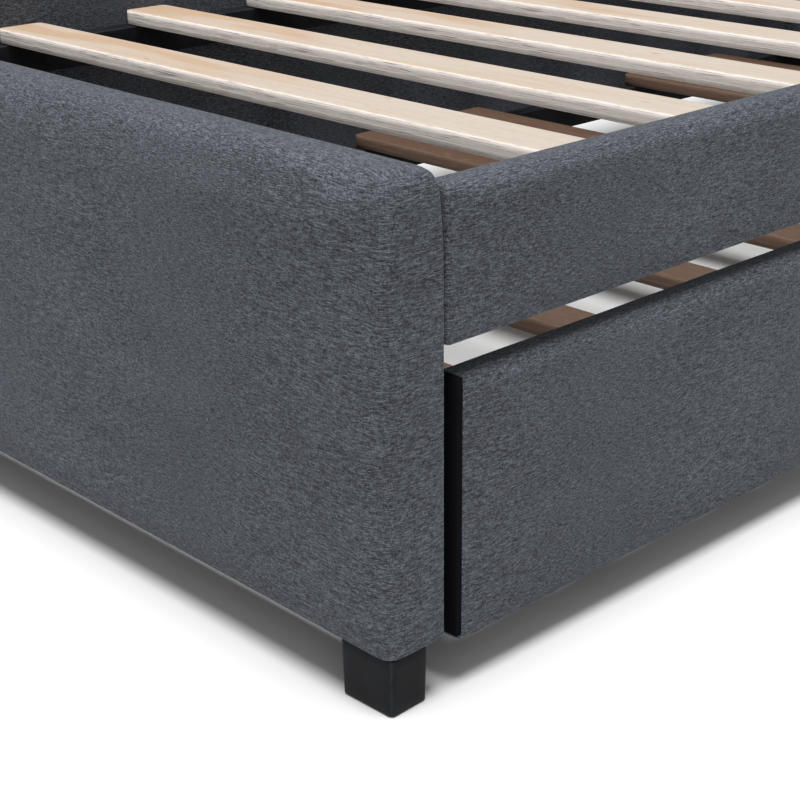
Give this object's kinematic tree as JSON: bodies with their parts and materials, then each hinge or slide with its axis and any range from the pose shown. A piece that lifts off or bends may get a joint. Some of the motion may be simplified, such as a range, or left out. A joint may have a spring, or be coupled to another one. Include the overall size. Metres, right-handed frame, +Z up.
{
  "type": "trundle bed",
  "caption": "Twin upholstered platform bed with slatted deck, low padded footboard, plain headboard and a roll-out slatted trundle under the side rail.",
  "frame": {"origin": "centre of the bed's footprint on the floor, trundle pushed in", "axes": "+X from the footboard to the headboard, +Y away from the side that the trundle pulls out of, +Z up"},
  "size_m": [2.046, 1.06, 0.96],
  "materials": {
    "fabric": "charcoal heathered linen-look weave over foam",
    "board": "raw particle board",
    "slat_wood": "sanded laminated poplar, pale and unvarnished",
    "ledger_wood": "black painted timber",
    "leg_wood": "black satin lacquer",
    "frame_wood": "black painted timber",
    "steel": "zinc plated",
    "caster_plastic": "black moulded nylon"
  },
  "bodies": {
    "bed": {"footboard_cover": "fabric", "footboard_board": "board", "headboard_cover": "fabric", "headboard_board": "board", "near_rail_cover": "fabric", "near_rail_board": "board", "far_panel_cover": "fabric", "far_panel_board": "board", "near_ledger": "ledger_wood", "far_ledger": "ledger_wood", "main_slat_1": "slat_wood", "main_slat_2": "slat_wood", "main_slat_3": "slat_wood", "main_slat_4": "slat_wood", "main_slat_5": "slat_wood", "main_slat_6": "slat_wood", "main_slat_7": "slat_wood", "main_slat_8": "slat_wood", "main_slat_9": "slat_wood", "main_slat_10": "slat_wood", "leg_foot_near": "leg_wood", "leg_foot_far": "leg_wood", "leg_head_near": "leg_wood", "leg_head_far": "leg_wood", "leg_far_middle": "leg_wood", "corner_bracket_foot_near": "steel", "corner_bracket_foot_far": "steel", "corner_bracket_head_near": "steel", "corner_bracket_head_far": "steel"},
    "trundle": {"trundle_front_cover": "fabric", "trundle_front_board": "board", "trundle_front_ledger": "frame_wood", "trundle_rear_rail": "frame_wood", "trundle_foot_rail": "frame_wood", "trundle_head_rail": "frame_wood", "trundle_slat_1": "slat_wood", "trundle_slat_2": "slat_wood", "trundle_slat_3": "slat_wood", "trundle_slat_4": "slat_wood", "trundle_slat_5": "slat_wood", "trundle_slat_6": "slat_wood", "trundle_slat_7": "slat_wood", "trundle_slat_8": "slat_wood", "trundle_slat_9": "slat_wood", "trundle_bracket_foot": "steel", "trundle_bracket_head": "steel", "caster_fork_foot_front": "steel", "caster_fork_foot_rear": "steel", "caster_fork_head_front": "steel", "caster_fork_head_rear": "steel", "caster_axle_foot_front": "steel", "caster_axle_foot_rear": "steel", "caster_axle_head_front": "steel", "caster_axle_head_rear": "steel"},
    "wheel_foot_front": {"caster_wheel_foot_front": "caster_plastic"},
    "wheel_foot_rear": {"caster_wheel_foot_rear": "caster_plastic"},
    "wheel_head_front": {"caster_wheel_head_front": "caster_plastic"},
    "wheel_head_rear": {"caster_wheel_head_rear": "caster_plastic"}
  },
  "joints": [
    {"name": "trundle_slide", "type": "slide", "parent": "bed", "child": "trundle", "axis": [0, -1, 0], "range_m": [0, 0.97]},
    {"name": "wheel_foot_front_spin", "type": "hinge", "parent": "trundle", "child": "wheel_foot_front", "pos_m": [-0.928, -0.42, 0.025], "axis": [1, 0, 0], "continuous": true},
    {"name": "wheel_foot_rear_spin", "type": "hinge", "parent": "trundle", "child": "wheel_foot_rear", "pos_m": [-0.928, 0.37, 0.025], "axis": [1, 0, 0], "continuous": true},
    {"name": "wheel_head_front_spin", "type": "hinge", "parent": "trundle", "child": "wheel_head_front", "pos_m": [0.928, -0.42, 0.025], "axis": [1, 0, 0], "continuous": true},
    {"name": "wheel_head_rear_spin", "type": "hinge", "parent": "trundle", "child": "wheel_head_rear", "pos_m": [0.928, 0.37, 0.025], "axis": [1, 0, 0], "continuous": true}
  ],
  "couplings": [
    {"joint": "wheel_foot_front_spin", "follows": "trundle_slide", "rad_per_m": 40},
    {"joint": "wheel_foot_rear_spin", "follows": "trundle_slide", "rad_per_m": 40},
    {"joint": "wheel_head_front_spin", "follows": "trundle_slide", "rad_per_m": 40},
    {"joint": "wheel_head_rear_spin", "follows": "trundle_slide", "rad_per_m": 40}
  ]
}
